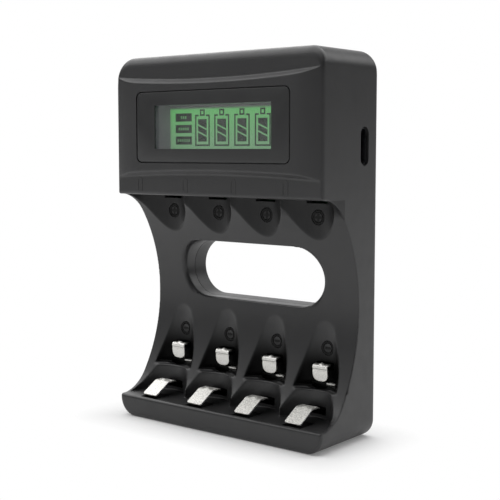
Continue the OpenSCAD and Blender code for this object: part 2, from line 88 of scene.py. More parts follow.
# Display pad, window and display
PAD_FLAT_W, PAD_TOP_Z, PAD_TOP_R, PAD_LOW_Z, PAD_LOW_R = 48, 86.6, 380, 65.5, 500
PAD_SLOPE = 0.85
LENS_W, LENS_H, LENS_T, LENS_R, LENS_Z = 48.4, 17.6, 1.2, 1.5, 76.1
LENS_GAP, LENS_TRIM, LENS_SUNK = 0.15, 0.1, 0.02
BORDER_T, BORDER_EDGE_R = 0.25, 0.15
NOSE_W, NOSE_H = 44.4, 13.6
VIEW_W, VIEW_H, VIEW_X = 36.8, 10.8, 0.5
GLASS_DEPTH, SEGMENT_T = 5.5, 0.03

# Rear cover, screws and the room behind the front wall
COVER_DEPTH, COVER_EDGE_R, COVER_RIM_R, COVER_RING_SUNK = 21.7, 0.35, 0.8, 0.2
CAVITY_W, CAVITY_H, CAVITY_R = 61, 90, 2.6
FIT_GAP = 0.15
SCREW_SPOTS = [(side * 28.2, z) for side in (-1, 1) for z in (4.3, 89.7)]
SCREW_HEAD_R, SCREW_HOLE_R = 2.3, 1.4
BOSS_R, BOSS_END = 2.5, 20.2

# Port
PORT_DEPTH, PORT_Z, PORT_W, PORT_H, PORT_GAP = 17.42, 71.3, 8.94, 3.16, 0.15
PORT_MOUTH = 25, 40

# Ringed signs in the bays: ring radius, strokes as width and height, and their places
SIGN_R = 1.5
PLUS, PLUS_Z = ((2, 0.6), (0.6, 2)), 54.4
MINUS, MINUS_Z, MINUS_ASIDE = ((1.8, 0.6),), 22.2, 0.4

# How far a cutter runs past what it cuts, and how near a point lies to a face that it is on
THROUGH, NEAR = 5, 0.01


def at(x, depth, z):
    return Vector((x, depth - MID_DEPTH, z)) / 1000


def clear_selection():
    bpy.ops.object.select_all(action="DESELECT")


def only(piece):
    clear_selection()
    piece.select_set(True)
    bpy.context.view_layer.objects.active = piece


def named(name, piece=None):
    """Names a piece and its mesh, or what was just added."""
    if piece is None:
        piece = bpy.context.object
    piece.name = piece.data.name = name
    return piece


def settle(piece):
    """Puts the piece's place into its mesh."""
    only(piece)
    bpy.ops.object.transform_apply(location=True, rotation=True, scale=True)
    return piece


def apply(piece, kind, **settings):
    only(piece)
    modifier = piece.modifiers.new(kind.title(), kind)
    for key, value in settings.items():
        setattr(modifier, key, value)
    bpy.ops.object.modifier_apply(modifier=modifier.name)
    return piece


def combine(piece, tool, how):
    apply(piece, "BOOLEAN", operation=how, object=tool, solver="MANIFOLD")
    bpy.data.objects.remove(tool)
    return piece


def cut(piece, *tools):
    for tool in tools:
        combine(piece, tool, "DIFFERENCE")
    return piece


def joined(name, pieces):
    clear_selection()
    for piece in pieces:
        piece.select_set(True)
    bpy.context.view_layer.objects.active = pieces[0]
    if len(pieces) > 1:
        bpy.ops.object.join()
    return named(name)


def smooth(piece, degrees=35):
    only(piece)
    bpy.ops.object.shade_smooth_by_angle(angle=math.radians(degrees))
    return piece


def close_seams():
    """In edit mode, merges the doubles and turns every face outwards."""
    bpy.ops.mesh.select_all(action="SELECT")
    bpy.ops.mesh.remove_doubles(threshold=1e-7)
    bpy.ops.mesh.normals_make_consistent(inside=False)


def select_edges(piece, wanted):
    """Selects the edges for which wanted(edge) holds, and stays in edit mode."""
    only(piece)
    bpy.ops.object.mode_set(mode="EDIT")
    bpy.ops.mesh.select_mode(type="EDGE")
    bpy.ops.mesh.select_all(action="DESELECT")
    mesh = bmesh.from_edit_mesh(piece.data)
    for edge in mesh.edges:
        edge.select = bool(wanted(edge))
    bmesh.update_edit_mesh(piece.data)


def sharp(edge, degrees=30):
    return len(edge.link_faces) == 2 and edge.calc_face_angle(0) > math.radians(degrees)


def soften(piece, radius, steps, wanted, clamped=True):
    select_edges(piece, wanted)
    bpy.ops.mesh.bevel(offset=radius / 1000, segments=steps, clamp_overlap=clamped)
    bpy.ops.object.mode_set(mode="OBJECT")
    return piece


def arc(a, b, r, start, end, steps):
    turns = [math.radians(start + (end - start) * i / steps) for i in range(steps + 1)]
    return [(a + r * math.cos(turn), b + r * math.sin(turn)) for turn in turns]


def round_rect(w, h, radii, mid=(0, 0), steps=12):
    """Outline of a rectangle, with radii at lower left, lower right, upper right, upper left."""
    low_left, low_right, high_right, high_left = radii
    a, b, x, z = *mid, w / 2, h / 2
    return (
        arc(a - x + low_left, b - z + low_left, low_left, 180, 270, steps)
        + arc(a + x - low_right, b - z + low_right, low_right, 270, 360, steps)
        + arc(a + x - high_right, b + z - high_right, high_right, 0, 90, steps)
        + arc(a - x + high_left, b + z - high_left, high_left, 90, 180, steps)
    )


def plain_rect(w, h, mid=(0, 0)):
    a, b, x, z = *mid, w / 2, h / 2
    return [(a - x, b - z), (a + x, b - z), (a + x, b + z), (a - x, b + z)]


def stadium(w, h, mid=(0, 0), steps=32):
    a, b, x = *mid, (w - h) / 2
    return arc(a - x, b, h / 2, 90, 270, steps) + arc(a + x, b, h / 2, -90, 90, steps)


def drawn(name, outline, along, low, high):
    """A flat outline drawn out along x, y (depth) or z."""
    spot = {
        "x": lambda p: at(low, p[0], p[1]),
        "y": lambda p: at(p[0], low, p[1]),
        "z": lambda p: at(p[0], p[1], low),
    }[along]
    clear_selection()
    bpy.ops.mesh.primitive_circle_add(vertices=len(outline), radius=0.01, fill_type="NGON")
    piece = named(name)
    for vertex, point in zip(piece.data.vertices, outline):
        vertex.co = spot(point)
    bpy.ops.object.mode_set(mode="EDIT")
    bpy.ops.mesh.select_all(action="SELECT")
    shift = [(high - low) / 1000 if axis == along else 0 for axis in "xyz"]
    bpy.ops.mesh.extrude_region_move(TRANSFORM_OT_translate={"value": shift})
    close_seams()
    bpy.ops.object.mode_set(mode="OBJECT")
    return piece


def block(x, depth, z):
    """A block between two limits each way."""
    mid = at(sum(x) / 2, sum(depth) / 2, sum(z) / 2)
    clear_selection()
    bpy.ops.mesh.primitive_cube_add(size=1, location=mid)
    piece = named("block")
    bpy.ops.object.mode_set(mode="EDIT")
    bpy.ops.mesh.select_all(action="SELECT")
    bpy.ops.transform.resize(value=[(high - low) / 1000 for low, high in (x, depth, z)])
    bpy.ops.object.mode_set(mode="OBJECT")
    return settle(piece)


def post(x, depth, r, low, high):
    """An upright round bar."""
    middle = at(x, depth, (low + high) / 2)
    clear_selection()
    bpy.ops.mesh.primitive_cylinder_add(
        vertices=96, radius=r / 1000, depth=(high - low) / 1000, location=middle
    )
    return settle(named("post"))


def rod(x, z, r, low, high):
    """A round bar along the depth."""
    return drawn("rod", arc(x, z, r, 0, 352.5, 47), "y", low, high)


def ball(x, depth, z, r):
    clear_selection()
    bpy.ops.mesh.primitive_uv_sphere_add(
        segments=64, ring_count=33, radius=r / 1000, location=at(x, depth, z)
    )
    return settle(named("ball"))


def linear(hex_colour):
    parts = [int(hex_colour[i : i + 2], 16) / 255 for i in (1, 3, 5)]
    return [c / 12.92 if c <= 0.04045 else ((c + 0.055) / 1.055) ** 2.4 for c in parts] + [1]


def per_mm(size):
    """Texture scale at which a pattern repeats about every size millimetres."""
    return 1000 / size


def node(tree, kind, inputs=None, **settings):
    """Adds a node. Each input takes a value, or a socket to link from."""
    made = tree.nodes.new(kind)
    for key, value in settings.items():
        setattr(made, key, value)
    for key, value in (inputs or {}).items():
        if isinstance(value, bpy.types.NodeSocket):
            tree.links.new(value, made.inputs[key])
        else:
            made.inputs[key].default_value = value
    return made


def new_material(name):
    material = bpy.data.materials.new(name)
    material.use_nodes = True
    material.node_tree.nodes.clear()
    return material, material.node_tree


def painted_pocket_shade_mask(tree, place):
    """Share of painted shade: 1 deep in the pockets for the short cells, and up to 0.4 at the upper ends of the
    long channels.
    """
    spot = node(tree, "ShaderNodeSeparateXYZ", {"Vector": place})
    height = spot.outputs["Z"]
    bay = node(
        tree, "ShaderNodeMath", {0: spot.outputs["X"], 1: BAY_PITCH / 1000, 2: 0.0}, operation="WRAP"
    ).outputs[0]
    in_bay = node(tree, "ShaderNodeCombineXYZ", {"X": bay, "Y": spot.outputs["Y"]}).outputs[0]

    aaa_axis, aaa_fade = at(BAY_PITCH / 2, AAA_AXIS, 0), 0.3
    aaa_reach = node(
        tree, "ShaderNodeVectorMath", {0: in_bay, 1: aaa_axis}, operation="DISTANCE"
    ).outputs["Value"]
    inside = node(
        tree,
        "ShaderNodeMapRange",
        {"Value": aaa_reach, "From Min": (AAA_R + aaa_fade) / 1000, "From Max": AAA_R / 1000},
    ).outputs[0]
    ledge_low, ledge_high = (LEDGE_Z - 0.8) / 1000, (LEDGE_Z - 0.3) / 1000
    over_ledge = node(
        tree, "ShaderNodeMapRange", {"Value": height, "From Min": ledge_low, "From Max": ledge_high}
    ).outputs[0]
    well_front = at(0, AA_AXIS + AA_R + 0.525, 0).y
    in_well = node(
        tree, "ShaderNodeMath", {0: spot.outputs["Y"], 1: well_front}, operation="GREATER_THAN"
    ).outputs[0]
    above = node(tree, "ShaderNodeMath", {0: over_ledge, 1: in_well}, operation="MAXIMUM").outputs[0]
    dark_z, open_z = 0.017, 0.026
    low = node(
        tree,
        "ShaderNodeMapRange",
        {"Value": height, "From Min": open_z, "From Max": dark_z},
        interpolation_type="SMOOTHSTEP",
    ).outputs[0]
    walls = node(tree, "ShaderNodeMath", {0: inside, 1: above}, operation="MULTIPLY").outputs[0]
    low_pocket = node(tree, "ShaderNodeMath", {0: walls, 1: low}, operation="MULTIPLY").outputs[0]

    aa_axis, aa_start, aa_end = at(BAY_PITCH / 2, AA_AXIS, 0), 0.2, 0.05
    aa_reach = node(
        tree, "ShaderNodeVectorMath", {0: in_bay, 1: aa_axis}, operation="DISTANCE"
    ).outputs["Value"]
    channel = node(
        tree,
        "ShaderNodeMapRange",
        {"Value": aa_reach, "From Min": (AA_R + aa_start) / 1000, "From Max": (AA_R + aa_end) / 1000},
    ).outputs[0]
    plain_z, shaded_z = 0.042, 0.046
    high = node(
        tree, "ShaderNodeMapRange", {"Value": height, "From Min": plain_z, "From Max": shaded_z, "To Max": 0.4}
    ).outputs[0]
    under_head = node(
        tree, "ShaderNodeMath", {0: height, 1: (HEAD_Z - 0.1) / 1000}, operation="LESS_THAN"
    ).outputs[0]
    upper = node(tree, "ShaderNodeMath", {0: channel, 1: high}, operation="MULTIPLY").outputs[0]
    channel_top = node(tree, "ShaderNodeMath", {0: upper, 1: under_head}, operation="MULTIPLY").outputs[0]
    return node(tree, "ShaderNodeMath", {0: low_pocket, 1: channel_top}, operation="MAXIMUM").outputs[0]


def moulded_abs(name, dark, light, rough, grain):
    """ABS from a spark-eroded mould: a satin charcoal skin with a fine, even grain.

    The grain is drawn at 0.35 mm so that it shows. Deep in the pockets for the short cells a painted shade
    makes the skin nearly black and turns its reflection down. The upper ends of the long channels get a lighter
    painted shade too.
    """
    material, tree = new_material(name)
    place = node(tree, "ShaderNodeTexCoord").outputs["Object"]
    cloud = node(
        tree, "ShaderNodeTexNoise", {"Vector": place, "Scale": per_mm(14), "Detail": 2.0}
    ).outputs[0]
    tone = node(tree, "ShaderNodeMapRange", {"Value": cloud, "From Min": 0.3, "From Max": 0.7}).outputs[0]
    open_skin = node(
        tree, "ShaderNodeMix", {0: tone, 6: linear(dark), 7: linear(light)}, data_type="RGBA"
    ).outputs[2]
    # Painted shade: in the pockets the skin goes to near black and its reflection is turned down
    pocket = painted_pocket_shade_mask(tree, place)
    colour = node(
        tree, "ShaderNodeMix", {0: pocket, 6: open_skin, 7: linear("#070707")}, data_type="RGBA"
    ).outputs[2]
    shaded_specular = node(tree, "ShaderNodeMapRange", {"Value": pocket, "To Min": 0.5, "To Max": 0.06}).outputs[0]
    wear = node(tree, "ShaderNodeTexNoise", {"Vector": place, "Scale": per_mm(3), "Detail": 2.0}).outputs[0]
    gloss = node(
        tree,
        "ShaderNodeMapRange",
        {"Value": wear, "From Min": 0.3, "From Max": 0.7, "To Min": rough - 0.03, "To Max": rough + 0.03},
    ).outputs[0]
    spark = node(
        tree, "ShaderNodeTexNoise", {"Vector": place, "Scale": per_mm(0.35), "Detail": 2.0}
    ).outputs[0]
    bumps = node(tree, "ShaderNodeBump", {"Height": spark, "Distance": grain / 1000}).outputs[0]
    skin = node(
        tree,
        "ShaderNodeBsdfPrincipled",
        {"Base Color": colour, "Roughness": gloss, "IOR": 1.53, "Specular IOR Level": shaded_specular, "Normal": bumps},
    )
    node(tree, "ShaderNodeOutputMaterial", {"Surface": skin.outputs[0]})
    return material


def plated_nickel(name, colour, rough, stretch, painted_shade=None):
    """Strip with a bright plating: nearly white, with faint rolling lines and a mottled gloss.

    A painted shade darkens the strip where it lies deep in a bay. For that, the last argument names an axis and
    the places along it, in metres, where the shade begins and is full. Places along X repeat in each bay.
    """
    material, tree = new_material(name)
    place = node(tree, "ShaderNodeTexCoord").outputs["Object"]
    rolled = node(tree, "ShaderNodeMapping", {"Vector": place, "Scale": stretch}).outputs[0]
    lines = node(
        tree, "ShaderNodeTexNoise", {"Vector": rolled, "Scale": per_mm(0.5), "Detail": 3.0}
    ).outputs[0]
    mottle = node(
        tree, "ShaderNodeTexNoise", {"Vector": place, "Scale": per_mm(0.35), "Detail": 3.0}
    ).outputs[0]
    tone = node(tree, "ShaderNodeMapRange", {"Value": mottle, "From Min": 0.3, "From Max": 0.62}).outputs[0]
    plating = node(
        tree, "ShaderNodeMix", {0: tone, 6: linear(colour), 7: linear("#fbfaf6")}, data_type="RGBA"
    ).outputs[2]
    # Painted shade: past the given places the plating goes to a dark grey
    if painted_shade:
        axis, start, end = painted_shade
        spot = node(tree, "ShaderNodeSeparateXYZ", {"Vector": place}).outputs[axis]
        if axis == "X":
            spot = node(
                tree, "ShaderNodeMath", {0: spot, 1: BAY_PITCH / 1000, 2: 0.0}, operation="WRAP"
            ).outputs[0]
        shade_share = node(
            tree, "ShaderNodeMapRange", {"Value": spot, "From Min": start, "From Max": end}
        ).outputs[0]
        plating = node(
            tree, "ShaderNodeMix", {0: shade_share, 6: plating, 7: linear("#262625")}, data_type="RGBA"
        ).outputs[2]
    gloss = node(
        tree, "ShaderNodeMapRange", {"Value": tone, "To Min": rough - 0.05, "To Max": rough + 0.08}
    ).outputs[0]
    scratches = node(tree, "ShaderNodeBump", {"Height": lines, "Distance": 0.000014}).outputs[0]
    skin = node(
        tree,
        "ShaderNodeBsdfPrincipled",
        {"Base Color": plating, "Metallic": 1.0, "Roughness": gloss, "Normal": scratches},
    )
    node(tree, "ShaderNodeOutputMaterial", {"Surface": skin.outputs[0]})
    return material


def clear_acrylic():
    """Cast acrylic window: clear and smooth, it shows the lamps faintly and lets light through."""
    material, tree = new_material("clear acrylic, cast")
    clear = linear("#f2f3f2")
    place = node(tree, "ShaderNodeTexCoord").outputs["Object"]
    haze = node(tree, "ShaderNodeTexNoise", {"Vector": place, "Scale": per_mm(6), "Detail": 2.0}).outputs[0]
    gloss = node(tree, "ShaderNodeMapRange", {"Value": haze, "To Min": 0.02, "To Max": 0.05}).outputs[0]
    pane = node(
        tree,
        "ShaderNodeBsdfPrincipled",
        {"Base Color": clear, "Roughness": gloss, "IOR": 1.49, "Transmission Weight": 1.0},
    )
    see_through = node(tree, "ShaderNodeBsdfTransparent", {"Color": clear})
    shadow = node(tree, "ShaderNodeLightPath").outputs["Is Shadow Ray"]
    pick = node(tree, "ShaderNodeMixShader", {0: shadow, 1: pane.outputs[0], 2: see_through.outputs[0]})
    node(tree, "ShaderNodeOutputMaterial", {"Surface": pick.outputs[0]})
    return material


def lit_display():
    """Display glass lit from behind: green that pales downward, and grey where the lamp ends."""
    material, tree = new_material("display glass, lit green")
    place = node(tree, "ShaderNodeTexCoord").outputs["Object"]
    spot = node(tree, "ShaderNodeSeparateXYZ", {"Vector": place})
    low, high = (LENS_Z - VIEW_H / 2) / 1000, (LENS_Z + VIEW_H / 2) / 1000
    fall = node(
        tree, "ShaderNodeMapRange", {"Value": spot.outputs["Z"], "From Min": low, "From Max": high}
    ).outputs[0]
    cloud = node(tree, "ShaderNodeTexNoise", {"Vector": place, "Scale": per_mm(5), "Detail": 2.0}).outputs[0]
    uneven = node(
        tree, "ShaderNodeMath", {0: cloud, 1: 0.25, 2: -0.125}, operation="MULTIPLY_ADD"
    ).outputs[0]
    height = node(tree, "ShaderNodeMath", {0: fall, 1: uneven}, operation="ADD").outputs[0]
    glow = node(
        tree, "ShaderNodeMix", {0: height, 6: linear("#6f9a74"), 7: linear("#5fb463")}, data_type="RGBA"
    ).outputs[2]
    unlit_x, lit_x = -0.0196, -0.0174
    from_left = node(
        tree,
        "ShaderNodeMapRange",
        {"Value": spot.outputs["X"], "From Min": unlit_x, "From Max": lit_x},
        interpolation_type="SMOOTHSTEP",
    ).outputs[0]
    from_top = node(
        tree,
        "ShaderNodeMapRange",
        {"Value": spot.outputs["Z"], "From Min": high - 0.0003, "From Max": high - 0.0013},
        interpolation_type="SMOOTHSTEP",
    ).outputs[0]
    reach = node(tree, "ShaderNodeMath", {0: from_left, 1: from_top}, operation="MULTIPLY").outputs[0]
    strength = node(tree, "ShaderNodeMath", {0: reach, 1: 0.85}, operation="MULTIPLY").outputs[0]
    base = node(
        tree, "ShaderNodeMix", {0: reach, 6: linear("#8b8a8d"), 7: linear("#26382a")}, data_type="RGBA"
    ).outputs[2]
    glass = node(
        tree,
        "ShaderNodeBsdfPrincipled",
        {
            "Base Color": base,
            "Roughness": 0.3,
            "IOR": 1.5,
            "Emission Color": glow,
            "Emission Strength": strength,
        },
    )
    node(tree, "ShaderNodeOutputMaterial", {"Surface": glass.outputs[0]})
    return material


def plain_finish(name, first, second, rough, size, grain=0.0, metallic=0.0):
    """A plain surface whose colour and gloss vary a little over the given size."""
    material, tree = new_material(name)
    place = node(tree, "ShaderNodeTexCoord").outputs["Object"]
    cloud = node(
        tree, "ShaderNodeTexNoise", {"Vector": place, "Scale": per_mm(size), "Detail": 3.0}
    ).outputs[0]
    tone = node(tree, "ShaderNodeMapRange", {"Value": cloud, "From Min": 0.3, "From Max": 0.7}).outputs[0]
    colour = node(
        tree, "ShaderNodeMix", {0: tone, 6: linear(first), 7: linear(second)}, data_type="RGBA"
    ).outputs[2]
    gloss = node(
        tree, "ShaderNodeMapRange", {"Value": tone, "To Min": rough - 0.04, "To Max": rough + 0.04}
    ).outputs[0]
    skin = node(
        tree, "ShaderNodeBsdfPrincipled", {"Base Color": colour, "Roughness": gloss, "Metallic": metallic}
    )
    if grain:
        fine = node(
            tree, "ShaderNodeTexNoise", {"Vector": place, "Scale": per_mm(size / 8), "Detail": 2.0}
        ).outputs[0]
        bumps = node(tree, "ShaderNodeBump", {"Height": fine, "Distance": grain / 1000}).outputs[0]
        tree.links.new(bumps, skin.inputs["Normal"])
    node(tree, "ShaderNodeOutputMaterial", {"Surface": skin.outputs[0]})
    return material


# Charcoal plastic: a satin sheen along the shell's edges, and a duller back; the shell has painted shade deep
# in its bays
SHELL_ABS = moulded_abs("ABS, charcoal, moulded satin", "#272728", "#2b2b2c", 0.4, 0.01)
COVER_ABS = moulded_abs("ABS, charcoal, moulded matt", "#262627", "#2a2a2b", 0.48, 0.018)

# Plated metal: bright and mottled, and darkened by a painted shade where it lies in the bays' depths
ROLLED = (1, 0.3, 0.3)
BLADE_PAINTED_SHADE = "Y", at(0, 8.8, 0).y, at(0, 9.6, 0).y
HOOK_PAINTED_SHADE = "Y", at(0, 13.7, 0).y, at(0, 14.5, 0).y
TERMINAL_PAINTED_SHADE = "X", at(BAY_PITCH / 2 + 1.2, 0, 0).x, at(BAY_PITCH / 2 + 0.9, 0, 0).x
NICKEL = plated_nickel("nickel plated spring strip", "#c8c7c2", 0.55, ROLLED)
PORT_NICKEL = plain_finish("port shell, black nickel", "#4a4b4d", "#57585a", 0.36, 0.8, metallic=1.0)
BLADE_NICKEL = plated_nickel("nickel plated blade", "#c8c7c2", 0.58, ROLLED, BLADE_PAINTED_SHADE)
HOOK_NICKEL = plated_nickel("nickel plated hook", "#e4e3de", 0.5, ROLLED, HOOK_PAINTED_SHADE)
TERMINAL_NICKEL = plated_nickel("nickel plated terminal", "#c8c7c2", 0.55, ROLLED, TERMINAL_PAINTED_SHADE)
SCREW_ZINC = plated_nickel("zinc plated screw", "#a9abad", 0.38, (1, 1, 1))

# Window and display: a black border with a soft sheen, and green light behind clear plastic
ACRYLIC = clear_acrylic()
LENS_BORDER = plain_finish("acrylic window border, satin black", "#252526", "#292a2a", 0.36, 8)
FRAME_GREY = plain_finish("grey display frame, moulded", "#9a90a0", "#a298a6", 0.5, 3)
DISPLAY = lit_display()
SEGMENT = plain_finish("dark display segments", "#2c3c30", "#33443a", 0.45, 2)
LAMP_PANEL = plain_finish("acrylic lamp panel, green", "#7fd07f", "#8adf8a", 0.3, 5)

# Board and small parts: glossy green, dull black and grey, and bright metal
BOARD_MASK = plain_finish("solder mask, green", "#16482a", "#1c5632", 0.35, 1.5, 0.01)
CHIP_RESIN = plain_finish("moulded epoxy, black", "#17171a", "#1e1e20", 0.55, 1, 0.01)
TONGUE_GREY = plain_finish("port tongue, grey resin", "#8b8b8e", "#959598", 0.5, 1)
# Painted shade: a matt black laid in the signs' grooves
SIGN_GROOVE_SHADE = plain_finish("signs, painted groove shade", "#0d0d0d", "#101010", 0.85, 0.6)
FERRITE = plain_finish("sintered ferrite", "#3c3c40", "#48484c", 0.6, 0.8, 0.02)
DRAWN_CAN = plain_finish("drawn aluminium can", "#b5b8bb", "#c3c6c9", 0.3, 2, metallic=1.0)
GOLD = plain_finish("gold flash", "#d9b160", "#e6c47c", 0.25, 1, metallic=1.0)


def dress(piece, material):
    piece.data.materials.clear()
    piece.data.materials.append(material)
    return piece


def attach(piece, body, material, slot, *stands_for):
    dress(piece, material)
    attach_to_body(piece, body)
    if stands_for:
        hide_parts(*stands_for)
    return piece


def recess_outline(grow=0, edge_r=0):
    """Three arcs that meet without a corner, from the head's underside to the bay floor.

    With an edge radius, the front edges of the head's underside and of the bay floor are rounded over.
    """
    mid, half = (FLOOR_Z + HEAD_Z) / 2, (HEAD_Z - FLOOR_Z) / 2 + RECESS_OVER
    rise = half - RECESS_END_R
    long_r = (RECESS_DEPTH**2 + rise**2 - RECESS_END_R**2) / (2 * (RECESS_DEPTH - RECESS_END_R))
    turn = math.degrees(math.atan2(rise, long_r - RECESS_DEPTH))
    front, low, high = -BODY_D, FLOOR_Z - grow, HEAD_Z + grow
    line = arc(0, mid + rise, RECESS_END_R + grow, 90, turn, 24)
    line += arc(RECESS_DEPTH - long_r, mid, long_r + grow, turn, -turn, 48)[1:]
    line += arc(0, mid - rise, RECESS_END_R + grow, -turn, -90, 24)[1:]
    line = [(depth, min(max(z, low), high)) for depth, z in line if depth >= edge_r]
    if edge_r:
        over = arc(edge_r, high + edge_r, edge_r, 180, 270, 8)
        line = over + line + arc(edge_r, low - edge_r, edge_r, 90, 180, 8)
    return [(front, high + edge_r)] + line + [(front, low - edge_r)]


def body_block():
    """The body's block. Its edges are round at the top and ease to small radii at the sides and below."""
    outline = round_rect(BODY_W, BODY_H, [CORNER_R] * 4, (0, BODY_H / 2))
    body = drawn("body", outline, "y", 0, BODY_D)
    share = body.data.attributes.new("bevel_weight_edge", "FLOAT", "EDGE")
    points = body.data.vertices
    ease = CORNER_R + 1
    for edge in body.data.edges:
        first, last = (points[i].co for i in edge.vertices)
        if abs(first.y - last.y) > 1e-6:
            continue
        z = (first.z + last.z) / 2 * 1000
        up = min(max((z - BODY_H + ease) / ease, 0), 1)
        side_r = BACK_R if first.y > 0 else SIDE_R
        edge_r = side_r + (EDGE_R - side_r) * up * up * (3 - 2 * up)
        if z < CORNER_R:
            edge_r = LIP_R + (side_r - LIP_R) * z / CORNER_R
        share.data[edge.index].value = edge_r / EDGE_R
    return apply(body, "BEVEL", width=EDGE_R / 1000, segments=10, limit_method="WEIGHT")


def display_pad():
    """The raised pad: flat in front, with round ends and curved, bevelled upper and lower edges."""
    half = BODY_W / 2 - SIDE_R
    run_out = half - PAD_FLAT_W / 2
    end_r = (run_out**2 + PAD_PROUD**2) / (2 * PAD_PROUD)
    turn = math.degrees(math.asin(run_out / end_r))
    x, mid = PAD_FLAT_W / 2, end_r - PAD_PROUD
    line = [(-half, WALL)] + arc(-x, mid, end_r, 270 - turn, 270, 16)
    line += arc(x, mid, end_r, 270, 270 + turn, 16) + [(half, WALL)]
    pad = drawn("pad", line, "z", HEAD_Z + LIP_R, BODY_H - EDGE_R)
    ahead = 1
    reach = ahead + PAD_PROUD + WALL
    for z, r in ((PAD_TOP_Z + PAD_TOP_R, PAD_TOP_R), (PAD_LOW_Z - PAD_LOW_R, PAD_LOW_R)):
        front_r = r + ahead * PAD_SLOPE
        clear_selection()
        bpy.ops.mesh.primitive_cone_add(
            vertices=1024,
            radius1=front_r / 1000,
            radius2=(front_r - reach * PAD_SLOPE) / 1000,
            depth=reach / 1000,
            location=at(0, reach / 2 - PAD_PROUD - ahead, z),
            rotation=(-math.pi / 2, 0, 0),
        )
        cut(pad, settle(named("pad edge")))
    return pad


def on_hole_rim(edge):
    """True for the sharp edges where the hole meets the recess."""
    if not sharp(edge, 40):
        return False
    for vertex in edge.verts:
        x, y, z = vertex.co * 1000
        run = max(abs(x) - (HOLE_W - HOLE_H) / 2, 0)
        off_rim = abs(math.hypot(run, z - HOLE_Z) - HOLE_H / 2)
        if off_rim > 0.05 or y + MID_DEPTH > SEAM_DEPTH:
            return False
    return True


def hole_outline(wall=0):
    return stadium(HOLE_W + 2 * wall, HOLE_H + 2 * wall, (0, HOLE_Z))


def cavity():
    """The room behind the front wall, less the walls of the bays, the hole and the screw bosses."""
    outline = round_rect(CAVITY_W, CAVITY_H, [CAVITY_R] * 4, (0, BODY_H / 2))
    room = drawn("room", outline, "y", WALL, BODY_D + THROUGH)
    cut(room, drawn("recess wall", recess_outline(WALL), "x", -BODY_W, BODY_W))
    well_half_w, (_, well_end), _ = BLADE_WELL
    for x in BAY_X:
        left, right = x - well_half_w - WALL, x + well_half_w + WALL
        cut(
            room,
            post(x, AA_AXIS, AA_R + WALL, FLOOR_Z - WALL, HEAD_Z + WALL),
            post(x, AAA_AXIS, AAA_R + WALL, LEDGE_Z - WALL, AAA_DOME_Z),
            ball(x, AAA_AXIS, AAA_DOME_Z, AAA_R + WALL),
            block((left, right), (0, well_end + WALL), (0, FLOOR_Z)),
        )
    cut(room, drawn("hole wall", hole_outline(HOLE_WALL), "y", 0, SEAM_DEPTH))
    for x, z in SCREW_SPOTS:
        cut(room, rod(x, z, BOSS_R, 0, BOSS_END))
    return room


def contact_openings(x):
    """Slots and wells for one bay's contacts."""

    def opening(half_w, depth, z):
        return block((x - half_w, x + half_w), depth, z)

    return (
        opening(*BLADE_SLOT),
        opening(*BLADE_WELL),
        opening(*TERMINAL_SLOT),
        drawn("hook slot", HOOK_SLOT, "x", x - HOOK_SLOT_HALF_W, x + HOOK_SLOT_HALF_W),
        opening(*HOOK_WELL),
        opening(*POSITIVE_GROOVE),
        opening(*POSITIVE_SLOT),
    )


def sign(x, z, axis, r, bars, thick=0.4, sunk=0.0, face=-0.3):
    """A ringed plus or minus on the wall of a channel with its given axis and radius."""
    wall, bar_back = axis + r, 0.25
    clear_selection()
    bpy.ops.mesh.primitive_torus_add(
        major_segments=56,
        minor_segments=12,
        major_radius=SIGN_R / 1000,
        minor_radius=thick / 1000,
        location=at(x, wall + sunk, z),
        rotation=(math.pi / 2, 0, 0),
    )
    strokes = [settle(named("ring"))]
    for w, h in bars:
        depth = (wall + face, wall + bar_back)
        strokes.append(block((x - w / 2, x + w / 2), depth, (z - h / 2, z + h / 2)))
    for stroke in strokes:
        for vertex in stroke.data.vertices:
            aside = vertex.co.x * 1000 - x
            vertex.co.y -= (r - math.sqrt(r * r - aside * aside)) / 1000
    return strokes


def all_signs(**settings):
    """A ringed plus at the upper end of each bay, and a ringed minus over each hook."""
    strokes = []
    for x in BAY_X:
        strokes += sign(x, PLUS_Z, AA_AXIS, AA_R, PLUS, **settings)
        strokes += sign(x + MINUS_ASIDE, MINUS_Z, AAA_AXIS, AAA_R, MINUS, **settings)
    return strokes


def lower_bay_points(mesh):
    """The points on the walls of the lower bays, clear of the bay floor, the sides and the hole."""
    low = at(-SOFT_HALF_W, SOFT_DEPTH[0], SOFT_Z[0])
    high = at(SOFT_HALF_W, SOFT_DEPTH[1], SOFT_Z[1])
    return [
        point.index
        for point in mesh.vertices
        if all(low[i] < point.co[i] < high[i] for i in range(3))
    ]


